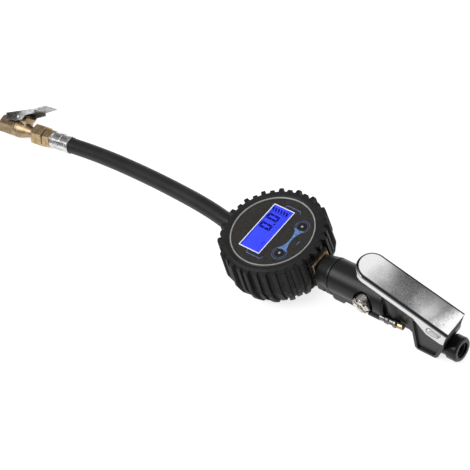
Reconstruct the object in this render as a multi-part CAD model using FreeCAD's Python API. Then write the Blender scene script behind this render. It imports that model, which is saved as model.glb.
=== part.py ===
import FreeCAD, Part
import math
import os

# A tyre inflator: a digital gauge in a ribbed rubber boot, an inline handle with a pressed
# lever behind it, and a short rubber hose with a clip-on chuck in front of it.
# Millimetres. Origin: middle of the boot's flat back. +Z: out of the display. +X: to the air inlet.

os.makedirs("parts", exist_ok=True)
Vec = FreeCAD.Vector

# Shared heights and clearances
face_height = 41.0          # back of the boot to the bezel's top
axis_height = 24.0          # back of the boot to the air passage through gauge and handle
seat_gap = 0.1              # between pieces that are pushed together
slide_gap = 0.25            # between pieces that move on each other
passage_radius = 3.0        # air passage in block and fittings

# Gauge boot: widest at mid-height, drawn in towards the face and more towards the back
boot_back_radius = 28.8
boot_heel_radius = 30.9
boot_heel_height = 3.0
boot_haunch_radius = 35.4
boot_haunch_height = 10.5
boot_mid_radius = 37.7
boot_mid_height = 18.5
boot_top_radius = 37.0
boot_wall = 3.8             # at the face
mid_swell = 1.2             # more at mid-height
boot_floor = 2.4
boot_rim_crown = 0.7        # the rim rises this far above the face
rib_count = 36
rib_long_height = 3.2       # out from the wall
rib_short_height = 1.9
rib_root_width = 3.6
rib_tip_width = 2.2
rib_top_drop = 0.1          # the ribs stop this far below the face
rib_foot = 0.6              # and start this far above the back
rib_phase = -1.0            # degrees from +X to the nearest long rib
handle_notch_width = 22.6
handle_notch_drop = 4.5     # above the brass block
handle_notch_x = 39.4       # the rubber covers the block up to here
pad_border = 1.4            # rubber round the brass block
hose_notch_width = 17.0

# Gauge case and what it holds
case_wall = 2.0
case_foot_radius = 27.4
case_foot_height = 9.7        # back of the boot to where the case reaches its full radius
case_floor = 2.0
bezel_radius = 31.1
bezel_ledge = 1.6
bezel_height = 3.7
panel_thickness = 1.6
panel_sink = 0.5            # the panel lies this far below the bezel's top
window_length = 41.9
window_width = 18.7
window_offset = -5.4
lcd_thickness = 2.8
lcd_border = 1.4
board_radius = 28.0
board_thickness = 1.6
board_drop = 7.0            # face to the top of the board
button_radius = 3.6
button_offset = 16.6
button_spacing = 26.2
button_proud = 0.35
button_length = 4.5
battery_radius = 5.25
battery_length = 44.5
post_radius = 2.6
post_x = 22.5
post_y = 14.0
door_length = 45.2
door_width = 26.0
door_thickness = 1.8
door_lug = 7.0
door_lug_width = 9.0
screw_radius = 1.2
screw_head_radius = 2.2
screw_length = 8.0
sensor_radius = 4.75
sensor_height = 5.2

# Brass block through the gauge
block_bar_radius = 7.0
block_width = 16.4
block_height = 20.0
block_end = 41.3            # gauge axis to the block's handle face
block_length = 8.0
barb_socket_depth = 8.0
barb_socket_radius = 4.6

# Hose
hose_radius = 6.25
hose_bore = 3.15
barb_radius = 2.95
barb_length = 14.0
barb_teeth = 4

# Front collar and handle
collar_front_radius = 9.6
collar_cone_length = 8.5
collar_end = 53.8
groove_width = 0.5
barrel_radius = 12.2
barrel_rear_radius = 12.5
barrel_end = 101.0
ledge_half_width = 10.5
ledge_drop = 12.0           # air passage down to the ledge's underside
ledge_end = 93.0
lug_length = 10.5
lug_depth = 3.3
web_half_width = 7.5
web_top = 9.0               # above the air passage
boss_x = 106.0
boss_radius = 9.3
boss_top = 14.5             # above the air passage
web_end = 125.0
foot_end = 118.0
foot_depth = 5.0
heel_half_width = 10.0
heel_rim = 2.3
heel_recess = 1.5
heel_points = [              # outline of the heel block: x and height above the gauge's back
    (123.8, 33.0),
    (121.5, -2.0),
    (123.2, -4.4),
    (137.6, -4.4),
    (140.4, -1.6),
    (147.4, 12.5),
    (149.6, 20.0),
    (149.0, 28.5),
    (144.5, 32.6),
]

# Lever, turning on a cross pin
pivot_x = 142.6
pivot_height = 28.0
pivot_radius = 2.0
lever_slope = 21.3          # degrees, at rest
lever_travel = 8.0          # degrees, pressed
lever_top = 7.46            # pivot to the outside of the top plate
lever_front = 68.7          # pivot to the front tip, along the plate
lever_rear = 9.2
lever_half_width = 11.5
lever_sheet = 1.2
lever_flange = 5.0
lever_bend = 2.2
ear_depth = 13.2
ear_front = 9.0
dimple_length = 11.0
dimple_height = 6.4
dimple_proud = 1.1

# Main valve under the lever
stem_radius = 2.2
stem_collar_radius = 4.4
stem_collar_height = 1.5
stem_length = 21.0
chamber_radius = 5.2
chamber_floor = -4.2        # from the air passage
chamber_height = 13.2
spring_wire = 0.8
seat_height = 1.6

# Gland nut of the cross valve, on the near side
gland_x = 85.0
gland_rise = 1.0            # above the air passage
gland_radius = 6.8
gland_seat = 8.1            # handle axis to the floor of its pocket
gland_length = 7.5
gland_thread_radius = 5.0
gland_thread_length = 5.0
gland_pocket_radius = 8.3
gland_notches = 6
gland_notch_width = 2.0
gland_notch_depth = 2.2
gland_pin_radius = 1.1

# Bleed valve beside the ledge
bleed_y = -10.3
bleed_drop = 7.7
bleed_radius = 2.5
bleed_length = 15.6
bleed_collar_radius = 3.1
bleed_collar_length = 2.0
bleed_button_radius = 2.3
bleed_button_length = 4.4
bleed_travel = 1.0
bleed_root = 1.4
bleed_lug_length = 4.0
bleed_lug_radius = 3.7

# Air inlet bushing
inlet_x = 154.7
inlet_height = 4.0
feed_height = 16.0          # back of the boot to the passage from inlet to valve
inlet_wall_x = 140.5        # where the neck meets the heel
inlet_ring_radius = 9.0
inlet_ring_length = 8.2
inlet_neck_radius = 7.8
inlet_bore_radius = 5.72
inlet_bore_depth = 9.4
filter_pocket_depth = 12.1
filter_radius = 5.2
inlet_root = 12.0
filter_length = 2.5

# Clip-on chuck, along its own axis from the ferrule's hose end
ferrule_length = 18.9
ferrule_radius = 7.2
ferrule_end_wall = 2.0
small_hex_flats = 14.0
small_hex_length = 7.3
big_hex_flats = 15.6
big_hex_length = 11.0
neck_radius = 4.0
nut_bore_gap = 0.5
head_flats = 14.0
head_start = 58.8
chuck_length = 72.3
mouth_radius = 4.2
mouth_depth = 8.2
seal_pocket_radius = 3.9
seal_pocket_depth = 13.0
chuck_yaw = 6.53            # degrees, off the handle's axis
chuck_roll = 55.0           # degrees, the lever lies over to the far side
chuck_pivot_along = 54.0
chuck_pivot_height = 9.0
chuck_pin_radius = 1.3
chuck_lever_slope = 20.5
chuck_lever_top = 4.6       # pin to the outside of the top plate
chuck_lever_sheet = 1.0
chuck_lever_gap = 0.25
chuck_lever_front = 12.4
chuck_lever_rear = 26.5
chuck_tab_length = 11.0

# Route of the hose, chosen by eye: exit to chuck, in the order x, y, z
hose_route = [
    (-34.5, 0.0, 24.0),
    (-47.0, 0.0, 24.0),
    (-62.5, 2.5, 23.9),
    (-80.0, 4.2, 23.7),
    (-99.0, 5.3, 23.3),
    (-120.2, 6.3, 22.6),
    (-141.6, 6.9, 21.6),
    (-163.4, 7.2, 20.4),
    (-185.4, 6.95, 19.0),
    (-204.0, 6.2, 17.7),
    (-220.0, 4.9, 16.8),
]
hose_tail = 16.8            # last run, inside the ferrule


def box(x0, x1, y0, y1, z0, z1):
    return Part.makeBox(x1 - x0, y1 - y0, z1 - z0, Vec(x0, y0, z0))


def rod(radius, length, start, direction):
    return Part.makeCylinder(radius, length, start, direction)


def along_x(radius, x0, x1, y=0.0, z=axis_height):
    return rod(radius, x1 - x0, Vec(x0, y, z), Vec(1, 0, 0))


def along_y(radius, y0, y1, x, z):
    return rod(radius, y1 - y0, Vec(x, y0, z), Vec(0, 1, 0))


def along_z(radius, z0, z1, x=0.0, y=0.0):
    return rod(radius, z1 - z0, Vec(x, y, z0), Vec(0, 0, 1))


def face_of(points):
    return Part.Face(Part.makePolygon(points + [points[0]]))


def turned_x(profile, y=0.0, z=axis_height):
    """Solid of revolution about a line along X: profile is (x, radius) pairs."""
    face = face_of([Vec(x, y, z + r) for x, r in profile])
    return face.revolve(Vec(0, y, z), Vec(1, 0, 0), 360)


def turned_z(profile):
    """Solid of revolution about Z: profile is (radius, z) pairs."""
    face = face_of([Vec(r, 0, z) for r, z in profile])
    return face.revolve(Vec(0, 0, 0), Vec(0, 0, 1), 360)


def side_plate(outline, half_width):
    """Plate across Y from an outline of (x, z) pairs."""
    face = face_of([Vec(x, -half_width, z) for x, z in outline])
    return face.extrude(Vec(0, 2 * half_width, 0))


def hexagon(flats, x0, x1):
    """Hexagonal bar along X about the X axis, with its end corners turned off."""
    corner = flats / math.sqrt(3)
    angles = [math.radians(60 * k) for k in range(6)]
    face = face_of([Vec(x0, corner * math.cos(a), corner * math.sin(a)) for a in angles])
    bar = face.extrude(Vec(x1 - x0, 0, 0))
    crown = corner - flats / 2
    turned = turned_x([(x0, 0), (x0, flats / 2), (x0 + crown * 0.6, corner + 0.01),
                       (x1 - crown * 0.6, corner + 0.01), (x1, flats / 2), (x1, 0)], 0, 0)
    return bar.common(turned)


def save(name, shape):
    solid = shape.removeSplitter()
    if not solid.isValid():
        print("not valid:", name)
    solid.exportStep("parts/" + name + ".step")
    print(name, round(solid.Volume, 1), len(solid.Solids))


# Gauge
boot_inner_radius = boot_mid_radius - boot_wall - mid_swell
case_radius = boot_inner_radius - seat_gap
case_base = boot_floor + seat_gap
bezel_base = face_height - bezel_height
panel_radius = bezel_radius - 1.3
panel_top = face_height - panel_sink
panel_base = panel_top - panel_thickness
board_top = face_height - board_drop
board_base = board_top - board_thickness
block_start = block_end - block_length
exit_x = hose_route[0][0]
block_front = seat_gap - math.sqrt(boot_inner_radius ** 2 - block_bar_radius ** 2)


def boot_side(out):
    """Outline of the boot's side in (radius, z), moved outwards by a rib's height."""
    top = face_height - rib_top_drop
    return [(boot_back_radius + out, 0), (boot_heel_radius + out, boot_heel_height),
            (boot_haunch_radius + out, boot_haunch_height), (boot_mid_radius + out, boot_mid_height),
            (boot_top_radius + out, top - 0.8)]


def rib_ring(height, phase):
    """Every second rib, all of one height."""
    half_root = rib_root_width / 2
    half_tip = rib_tip_width / 2
    root = boot_inner_radius - 8
    tip = boot_mid_radius + height + 1
    blade = face_of([Vec(root, -half_root, 0), Vec(boot_top_radius, -half_root, 0), Vec(tip, -half_tip, 0),
                     Vec(tip, half_tip, 0), Vec(boot_top_radius, half_root, 0), Vec(root, half_root, 0)])
    blade = blade.extrude(Vec(0, 0, face_height))
    top = face_height - rib_top_drop
    outline = boot_side(height)
    envelope = turned_z([(0, rib_foot), (boot_back_radius + height * 0.6, rib_foot)] + outline[1:]
                        + [(boot_top_radius + height - 0.8, top), (0, top)])
    step = 720.0 / rib_count
    blades = []
    for k in range(rib_count // 2):
        copy = blade.copy()
        copy.rotate(Vec(0, 0, 0), Vec(0, 0, 1), phase + k * step)
        blades.append(copy.common(envelope))
    return blades


def rubber_boot():
    rim = bezel_radius + seat_gap
    crest = face_height + boot_rim_crown
    body = turned_z([(0, 0)] + boot_side(0)
                    + [(boot_top_radius - 0.8, face_height), (boot_top_radius - 2.6, crest),
                       (rim + 1.4, crest - 0.3), (rim, face_height - 0.3), (0, face_height - 0.3)])
    body = body.multiFuse(rib_ring(rib_long_height, rib_phase)
                          + rib_ring(rib_short_height, rib_phase + 360.0 / rib_count))
    far = boot_mid_radius + rib_long_height + 5
    pad_half = block_width / 2 + pad_border
    pad_z = block_height / 2 + pad_border
    body = body.fuse(box(boot_inner_radius - 1, handle_notch_x, -pad_half, pad_half,
                         axis_height - pad_z, axis_height + pad_z))
    half = handle_notch_width / 2
    top = axis_height + block_height / 2 + handle_notch_drop
    body = body.cut(box(handle_notch_x, far, -half, half, axis_height - half - 3, top))
    side = block_width / 2 + seat_gap
    rise = block_height / 2 + seat_gap
    body = body.cut(box(boot_inner_radius - 3, far, -side, side, axis_height - rise, axis_height + rise))
    cavity = turned_z([(0, boot_floor), (case_foot_radius + seat_gap, boot_floor),
                       (boot_inner_radius, case_foot_height), (boot_inner_radius, bezel_base + seat_gap),
                       (rim, bezel_base + seat_gap), (rim, face_height + 5), (0, face_height + 5)])
    body = body.cut(cavity)
    half = hose_notch_width / 2
    body = body.cut(box(-far, -boot_mid_radius - 0.6, -half, half, axis_height - half, axis_height + half))
    return body.cut(along_x(hose_radius + slide_gap, -far, 0))


def post_places():
    return [(sx * post_x, sy * post_y) for sx in (-1, 1) for sy in (-1, 1)]


def gauge_case():
    inner = case_radius - case_wall
    top = bezel_base - seat_gap
    foot = case_foot_radius
    floor = case_base + case_floor
    body = turned_z([(0, case_base), (foot, case_base), (case_radius, case_foot_height),
                     (case_radius, top), (inner, top), (inner, case_foot_height),
                     (foot - case_wall + 0.6, floor), (0, floor)])
    for x, y in post_places():
        body = body.fuse(along_z(post_radius, case_foot_height - 3.5, board_base - seat_gap, x, y))
    lug_x = door_width / 2 + door_lug - screw_head_radius - 1.2
    body = body.fuse(along_z(screw_head_radius + 1.0, case_base, case_base + screw_length + 1.5, lug_x, 0))
    body = body.cut(box(-door_width / 2, door_width / 2, -door_length / 2, door_length / 2,
                        case_base - 1, case_base + case_floor + 1))
    half_lug = door_lug_width / 2
    body = body.cut(box(0, door_width / 2 + door_lug, -half_lug, half_lug, case_base - 1, case_base + 1.1))
    body = body.cut(along_z(screw_radius + 0.05, case_base - 1, case_base + screw_length, lug_x, 0))
    return body.cut(along_x(block_bar_radius + seat_gap, -case_radius - 1, case_radius + 1))


def battery_door():
    half_x = door_width / 2 - seat_gap
    half_y = door_length / 2 - seat_gap
    half_lug = door_lug_width / 2 - seat_gap
    lug_x = door_width / 2 + door_lug - screw_head_radius - 1.2
    door = box(-half_x, half_x, -half_y, half_y, case_base, case_base + door_thickness)
    lug = box(0, door_width / 2 + door_lug - seat_gap, -half_lug, half_lug, case_base, case_base + 1.0)
    return door.fuse(lug).cut(along_z(screw_radius + seat_gap, 0, face_height, lug_x, 0))


def battery_door_screw():
    lug_x = door_width / 2 + door_lug - screw_head_radius - 1.2
    head = along_z(screw_head_radius, boot_floor + 0.02, case_base - 0.02, lug_x, 0)
    shank = along_z(screw_radius, boot_floor + 0.02, case_base + screw_length - 0.5, lug_x, 0)
    return shank.fuse(head)


def batteries():
    z = case_base + door_thickness + seat_gap + battery_radius
    half = battery_length / 2
    cells = []
    for side in (-1, 1):
        x = side * (battery_radius + 0.2)
        can = along_y(battery_radius, -half, half - 1.0, x, z)
        nub = along_y(battery_radius * 0.36, half - 1.0, half, x, z)
        cell = can.fuse(nub)
        if side < 0:
            cell.rotate(Vec(x, 0, z), Vec(0, 0, 1), 180)
        cells.append(cell)
    return Part.makeCompound(cells)


def circuit_board():
    board = along_z(board_radius, board_base, board_top)
    for x, y in post_places():
        board = board.cut(along_z(screw_radius + seat_gap, board_base - 1, board_top + 1, x, y))
    return board


def board_screws():
    screws = []
    for x, y in post_places():
        head = along_z(screw_head_radius, board_top + 0.02, board_top + 1.2, x, y)
        screws.append(head.fuse(along_z(screw_radius, board_base, board_top + 1.0, x, y)))
    return Part.makeCompound(screws)


def lcd_module():
    half_x = window_width / 2 + lcd_border
    half_y = window_length / 2 + lcd_border
    top = panel_base - 0.05
    glass = box(window_offset - half_x, window_offset + half_x, -half_y, half_y, top - lcd_thickness, top)
    foot_y = half_y - 4
    foot = box(window_offset - half_x + 1, window_offset - half_x + 3, -foot_y, foot_y,
               board_top + 0.02, top - lcd_thickness)
    other = foot.translated(Vec(2 * half_x - 4, 0, 0))
    return glass.fuse([foot, other])


def lcd_window():
    half_x = window_width / 2 - seat_gap
    half_y = window_length / 2 - seat_gap
    return box(window_offset - half_x, window_offset + half_x, -half_y, half_y, panel_base, panel_top - 0.3)


def face_panel():
    panel = along_z(panel_radius, panel_base, panel_top)
    half_x = window_width / 2
    half_y = window_length / 2
    panel = panel.cut(box(window_offset - half_x, window_offset + half_x, -half_y, half_y,
                          panel_base - 1, panel_top + 1))
    for side in (-1, 1):
        hole = along_z(button_radius + slide_gap, panel_base - 1, panel_top + 1,
                       button_offset, side * button_spacing / 2)
        panel = panel.cut(hole)
    return panel


def bezel_ring():
    inner = panel_radius + seat_gap
    ledge = inner - bezel_ledge
    shelf = panel_base - seat_gap
    return turned_z([(ledge, bezel_base), (bezel_radius, bezel_base), (bezel_radius, face_height - 0.2),
                     (bezel_radius - 0.25, face_height + 0.25), (inner + 0.25, face_height + 0.25),
                     (inner, face_height - 0.1), (inner, shelf), (ledge, shelf)])


def face_button(side):
    y = side * button_spacing / 2
    top = panel_top + button_proud
    cap = along_z(button_radius, top - button_length, top, button_offset, y)
    rims = [e for e in cap.Edges if e.BoundBox.ZMin > top - 0.01 and len(e.Vertexes) == 1]
    return cap.makeFillet(0.3, rims)


def pressure_sensor():
    top = axis_height + block_bar_radius + 0.6
    can = along_z(sensor_radius, top - sensor_height, top)
    pins = [along_z(0.3, top, board_base - 0.05, dx, dy) for dx in (-2, 2) for dy in (-2, 2)]
    return can.multiFuse(pins)


def manifold_block():
    half_w = block_width / 2
    half_h = block_height / 2
    start = block_front + seat_gap
    bar = along_x(block_bar_radius, start, block_start + 1)
    head = box(block_start, block_end, -half_w, half_w, axis_height - half_h, axis_height + half_h)
    long_edges = [e for e in head.Edges if abs(e.Length - block_length) < 0.01]
    block = bar.fuse(head.makeChamfer(0.6, long_edges))
    block = block.cut(along_x(passage_radius, start - 1, block_end + 1))
    block = block.cut(along_x(barb_socket_radius, start - 1, start + barb_socket_depth))
    sensor_top = axis_height + block_bar_radius + 0.6
    pocket = along_z(sensor_radius + seat_gap, sensor_top - sensor_height - 0.05, face_height)
    return block.cut(pocket)


def hose_barb():
    start = block_front
    inner = barb_socket_radius - 0.05
    root = barb_radius - 0.4
    end = start + barb_socket_depth - 0.5
    profile = [(end, 0), (end, inner), (start, inner), (start, hose_radius - 0.3),
               (exit_x + 0.05, hose_radius - 0.3), (exit_x + 0.05, root)]
    pitch = barb_length / barb_teeth
    for k in range(barb_teeth):
        x = exit_x - k * pitch
        profile += [(x - 0.6, root), (x - 0.6, barb_radius), (x - pitch + 0.6, root)]
    profile += [(exit_x - barb_length, barb_radius - 0.7), (exit_x - barb_length, 0)]
    barb = turned_x(profile)
    return barb.cut(along_x(1.6, exit_x - barb_length - 1, start + barb_socket_depth + 1))


# Handle
ledge_z = axis_height - ledge_drop
ledge_start = block_end + groove_width
chamber_z = axis_height + chamber_floor
gland_z = axis_height + gland_rise
stem_rest = pivot_height + (pivot_x - boss_x) * math.tan(math.radians(lever_slope))
stem_rest += (lever_top - lever_sheet) / math.cos(math.radians(lever_slope))
stem_pressed = pivot_height + (pivot_x - boss_x) * math.tan(math.radians(lever_slope - lever_travel))
stem_pressed += (lever_top - lever_sheet) / math.cos(math.radians(lever_slope - lever_travel))
stem_stroke = stem_rest - stem_pressed
dome_lift = stem_radius / math.cos(math.radians(lever_slope)) - stem_radius
stem_top = stem_rest - dome_lift - 0.3


def front_collar():
    cone_end = ledge_start + collar_cone_length
    x0 = ledge_start
    body = turned_x([(x0, 0), (x0, collar_front_radius), (x0 + 1.5, collar_front_radius + 0.9),
                     (cone_end, barrel_radius - 0.4), (cone_end + 2.0, barrel_radius),
                     (collar_end, barrel_radius), (collar_end, 0)])
    half = ledge_half_width
    keel = box(x0, collar_end, -half, half, ledge_z, axis_height)
    low_edges = [e for e in keel.Edges if e.BoundBox.ZMax < ledge_z + 0.01 and e.BoundBox.XLength > 1]
    body = body.fuse(keel.makeChamfer(1.0, low_edges))
    for side in (-1, 1):
        slot = box(x0 + 6.0, x0 + 7.2, side * half - 1.2, side * half + 1.2, ledge_z - 1, ledge_z + 4.5)
        body = body.cut(slot)
    return body.cut(along_x(passage_radius, x0 - 1, collar_end + 1))


def heel_outline(inset):
    """Outline of the heel block in (x, z), drawn in by an even border."""
    if inset == 0:
        return heel_points
    wire = Part.makePolygon([Vec(x, 0, z) for x, z in heel_points + [heel_points[0]]])
    inner = wire.makeOffset2D(-inset, 2)
    return [(v.X, v.Z) for v in inner.OrderedVertexes]


def handle_shell():
    """Barrel, ledge, web, boss and heel, without bores."""
    x0 = collar_end + groove_width
    half = ledge_half_width
    barrel = turned_x([(x0, 0), (x0, barrel_radius - 0.25), (x0 + 0.25, barrel_radius),
                       (barrel_end - 1.5, barrel_rear_radius), (barrel_end, barrel_rear_radius - 1.5),
                       (barrel_end, 0)])
    keel = box(x0, ledge_end, -half, half, ledge_z, axis_height)
    low_edges = [e for e in keel.Edges if e.BoundBox.ZMax < ledge_z + 0.01 and e.BoundBox.XLength > 1]
    keel = keel.makeChamfer(1.0, low_edges)
    x1 = x0 + lug_length
    low = ledge_z - lug_depth
    lug = side_plate([(x0, ledge_z + 3), (x0, low + 1.2), (x0 + 1.2, low), (x1 - 1.5, low),
                      (x1, low + 1.6), (x1 + 1.0, ledge_z + 3)], half - 0.4)
    web_z = axis_height + web_top
    web_start = barrel_end - 4
    web = side_plate([(web_start, ledge_z), (web_end, ledge_z), (web_end, web_z), (web_start, web_z)],
                     web_half_width)
    foot = side_plate([(ledge_end - 2, ledge_z), (foot_end, ledge_z), (web_end - 2.5, ledge_z - foot_depth),
                       (web_end - 2.5, ledge_z + 6), (ledge_end - 2, ledge_z + 6)], web_half_width)
    top = axis_height + boss_top
    boss = along_z(boss_radius, ledge_z, top, boss_x)
    rims = [e for e in boss.Edges if e.BoundBox.ZMin > top - 0.01 and len(e.Vertexes) == 1]
    boss = boss.makeFillet(1.2, rims)
    heel = side_plate(heel_outline(0), heel_half_width)
    bleed_lug = along_x(bleed_lug_radius, ledge_end - 5, ledge_end + bleed_lug_length, bleed_y + 1.0,
                        axis_height - bleed_drop)
    body = barrel.multiFuse([keel, lug, web, foot, boss, heel, bleed_lug])
    for side in (-1, 1):
        y0 = heel_half_width - heel_recess
        panel = face_of([Vec(x, side * y0, z) for x, z in heel_outline(heel_rim)])
        body = body.cut(panel.extrude(Vec(0, side * (heel_recess + 1), 0)))
    return body


def handle_body():
    body = handle_shell()
    x0 = collar_end + groove_width
    body = body.cut(along_x(passage_radius, x0 - 1, boss_x))
    body = body.cut(along_z(chamber_radius, chamber_z, chamber_z + chamber_height, boss_x))
    body = body.cut(along_z(stem_radius + slide_gap, feed_height, face_height + 20, boss_x))
    feed_x = inlet_x - inlet_ring_length - inlet_root
    body = body.cut(along_x(passage_radius, boss_x, feed_x + 1, 0, feed_height))
    body = body.cut(along_z(passage_radius, inlet_height, feed_height, feed_x - 1.0))
    body = body.cut(along_x(inlet_neck_radius - 0.9, feed_x - 2.0, inlet_x + 5, 0, inlet_height))
    body = body.cut(along_y(pivot_radius + 0.05, -30, 30, pivot_x, pivot_height))
    pocket = along_y(gland_pocket_radius, -30, -gland_seat, gland_x, gland_z)
    thread = along_y(gland_thread_radius + 0.05, -30, -gland_seat + gland_thread_length, gland_x, gland_z)
    body = body.cut(pocket).cut(thread)
    root = along_x(bleed_radius + 0.05, ledge_end - bleed_root, ledge_end + bleed_lug_length + 1, bleed_y,
                   axis_height - bleed_drop)
    channel_end = ledge_end + bleed_length + bleed_collar_length + 1
    channel = along_x(bleed_collar_radius + 0.3, ledge_end + bleed_lug_length, channel_end, bleed_y,
                      axis_height - bleed_drop)
    return body.cut(root).cut(channel)


def lever_blank(half_width, top, bottom, front, rear):
    """Solid with the lever's plan outline, between two heights above the pivot, lying flat."""
    centre = front - half_width
    tip = Part.Arc(Vec(centre, -half_width, bottom), Vec(front, 0, bottom), Vec(centre, half_width, bottom))
    edges = [Part.LineSegment(Vec(-rear, -half_width, bottom), Vec(centre, -half_width, bottom)).toShape(),
             tip.toShape(),
             Part.LineSegment(Vec(centre, half_width, bottom), Vec(-rear, half_width, bottom)).toShape(),
             Part.LineSegment(Vec(-rear, half_width, bottom), Vec(-rear, -half_width, bottom)).toShape()]
    return Part.Face(Part.Wire(edges)).extrude(Vec(0, 0, top - bottom))


def lever_flat():
    """The lever lying flat: u along X from the pivot, height above the pivot in Z."""
    low = lever_top - ear_depth
    outer = lever_blank(lever_half_width, lever_top, low, lever_front, lever_rear)
    bend = [e for e in outer.Edges
            if e.BoundBox.ZMin > lever_top - 0.01 and (e.BoundBox.XLength > lever_front * 0.5
                                                       or e.BoundBox.YLength > lever_half_width * 1.9)
            and e.BoundBox.XMax > 0]
    outer = outer.makeFillet(lever_bend, bend)
    sheet = lever_sheet
    inner = lever_blank(lever_half_width - sheet, lever_top - sheet, low - 1,
                        lever_front - sheet, lever_rear + 5)
    roof = [e for e in inner.Edges
            if e.BoundBox.ZMin > lever_top - sheet - 0.01 and e.BoundBox.XMax > 0
            and (e.BoundBox.XLength > lever_front * 0.5 or e.BoundBox.YLength > lever_half_width * 1.7)]
    inner = inner.makeFillet(lever_bend - sheet, roof)
    pan = outer.cut(inner)
    hem = lever_top - lever_flange
    skirt = side_plate([(ear_front + 7, hem), (lever_front + 5, hem), (lever_front + 5, low - 2),
                        (-lever_rear + 2.4, low - 2), (-lever_rear + 2.4, low), (ear_front - 5, low),
                        (ear_front + 1, low + 4.0)], lever_half_width + 5)
    corner = side_plate([(-lever_rear - 1, low - 2), (-lever_rear + 2.4, low - 2), (-lever_rear + 2.4, low),
                         (-lever_rear - 1, low + 1.6)], lever_half_width + 5)
    pan = pan.cut(skirt).cut(corner)
    for side in (-1, 1):
        pan = pan.fuse(dimple(side))
    return pan.cut(along_y(pivot_radius + 0.1, -lever_half_width - 0.3, lever_half_width + 0.3, 0, 0))


def dimple(side):
    """Oval pressed over the end of the pivot pin."""
    half = dimple_length / 2 - dimple_height / 2
    r = dimple_height / 2
    y0 = side * (lever_half_width - 0.6)
    edges = [Part.LineSegment(Vec(-half, y0, -r), Vec(half, y0, -r)).toShape(),
             Part.Arc(Vec(half, y0, -r), Vec(half + r, y0, 0), Vec(half, y0, r)).toShape(),
             Part.LineSegment(Vec(half, y0, r), Vec(-half, y0, r)).toShape(),
             Part.Arc(Vec(-half, y0, r), Vec(-half - r, y0, 0), Vec(-half, y0, -r)).toShape()]
    pad = Part.Face(Part.Wire(edges)).extrude(Vec(0, side * (dimple_proud + 0.6), 0))
    outer = side * (lever_half_width + dimple_proud)
    rims = [e for e in pad.Edges
            if abs(e.BoundBox.YMin - outer) < 0.01 and abs(e.BoundBox.YMax - outer) < 0.01]
    return pad.makeFillet(0.9, rims)


def stand_lever(shape):
    """Turn the flat lever to its slope: its length runs towards -X and up."""
    shape = shape.copy()
    shape.rotate(Vec(0, 0, 0), Vec(0, 0, 1), 180)
    shape.rotate(Vec(0, 0, 0), Vec(0, 1, 0), lever_slope)
    shape.translate(Vec(pivot_x, 0, pivot_height))
    return shape


def lever_pivot_pin():
    reach = lever_half_width + 0.2
    return along_y(pivot_radius, -reach, reach, pivot_x, pivot_height)


def valve_stem():
    z_top = stem_top
    shaft = along_z(stem_radius, z_top - stem_length, z_top - stem_radius, boss_x)
    dome = Part.makeSphere(stem_radius, Vec(boss_x, 0, z_top - stem_radius))
    collar_top = chamber_z + chamber_height - 0.3
    collar = along_z(stem_collar_radius, collar_top - stem_collar_height, collar_top, boss_x)
    return shaft.multiFuse([dome, collar])


def valve_spring():
    top = chamber_z + chamber_height - 0.3 - stem_collar_height - 0.05
    base = chamber_z + seat_height + 0.05
    outer = stem_collar_radius
    sleeve = along_z(outer, base, top, boss_x)
    return sleeve.cut(along_z(outer - 2 * spring_wire, base - 1, top + 1, boss_x))


def valve_seat():
    seat = along_z(chamber_radius - 0.1, chamber_z + 0.02, chamber_z + seat_height, boss_x)
    return seat.cut(along_z(stem_radius + slide_gap, chamber_z - 1, chamber_z + seat_height + 1, boss_x))


def gland_nut():
    y0 = -gland_seat - gland_length
    z = gland_z
    profile = [(0, 0), (gland_radius - 1.0, 0), (gland_radius, 1.0), (gland_radius, gland_length - 0.8),
               (gland_radius - 0.8, gland_length - 0.05), (gland_thread_radius, gland_length - 0.05),
               (gland_thread_radius, gland_length + gland_thread_length - 0.4),
               (0, gland_length + gland_thread_length - 0.4)]
    face = face_of([Vec(gland_x + r, y0 + d, z) for r, d in profile])
    nut = face.revolve(Vec(gland_x, 0, z), Vec(0, 1, 0), 360)
    step = 360.0 / gland_notches
    for k in range(gland_notches):
        half = gland_notch_width / 2
        notch = box(gland_x + gland_radius - 2.0, gland_x + gland_radius + 2,
                    y0 - 1, y0 + gland_notch_depth, z - half, z + half)
        notch.rotate(Vec(gland_x, 0, z), Vec(0, 1, 0), k * step + 15)
        nut = nut.cut(notch)
    slot = box(gland_x - gland_radius - 1, gland_x + gland_radius + 1, y0 - 1, y0 + 1.6, z - 0.9, z + 0.9)
    slot.rotate(Vec(gland_x, 0, z), Vec(0, 1, 0), 45)
    nut = nut.cut(slot)
    nut = nut.cut(along_y(2.6, y0 - 1, y0 + 2.4, gland_x, z))
    return nut.cut(along_y(gland_pin_radius + 0.1, y0 - 1, 0, gland_x, z))


def gland_pin():
    y0 = -gland_seat - gland_length - 0.4
    pin = along_y(gland_pin_radius, y0, -gland_seat + 4.0, gland_x, gland_z)
    rims = [e for e in pin.Edges if e.BoundBox.YMax < y0 + 0.01 and len(e.Vertexes) == 1]
    return pin.makeFillet(0.5, rims)


def bleed_valve_body():
    z = axis_height - bleed_drop
    x0 = ledge_end - bleed_root + 0.3
    x1 = ledge_end + bleed_length
    x2 = x1 + bleed_collar_length
    r = bleed_radius
    body = turned_x([(x0, 0), (x0, r), (x1 - 7.5, r), (x1 - 6.8, r + 0.45), (x1 - 4.2, r + 0.45),
                     (x1 - 3.4, r - 0.2), (x1, r - 0.2), (x1, bleed_collar_radius - 0.3),
                     (x1 + 0.3, bleed_collar_radius),
                     (x2 - 0.3, bleed_collar_radius), (x2, bleed_collar_radius - 0.3), (x2, 0)], bleed_y, z)
    return body.cut(along_x(1.3, x1 - 3.0, x2 + 1, bleed_y, z))


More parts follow.
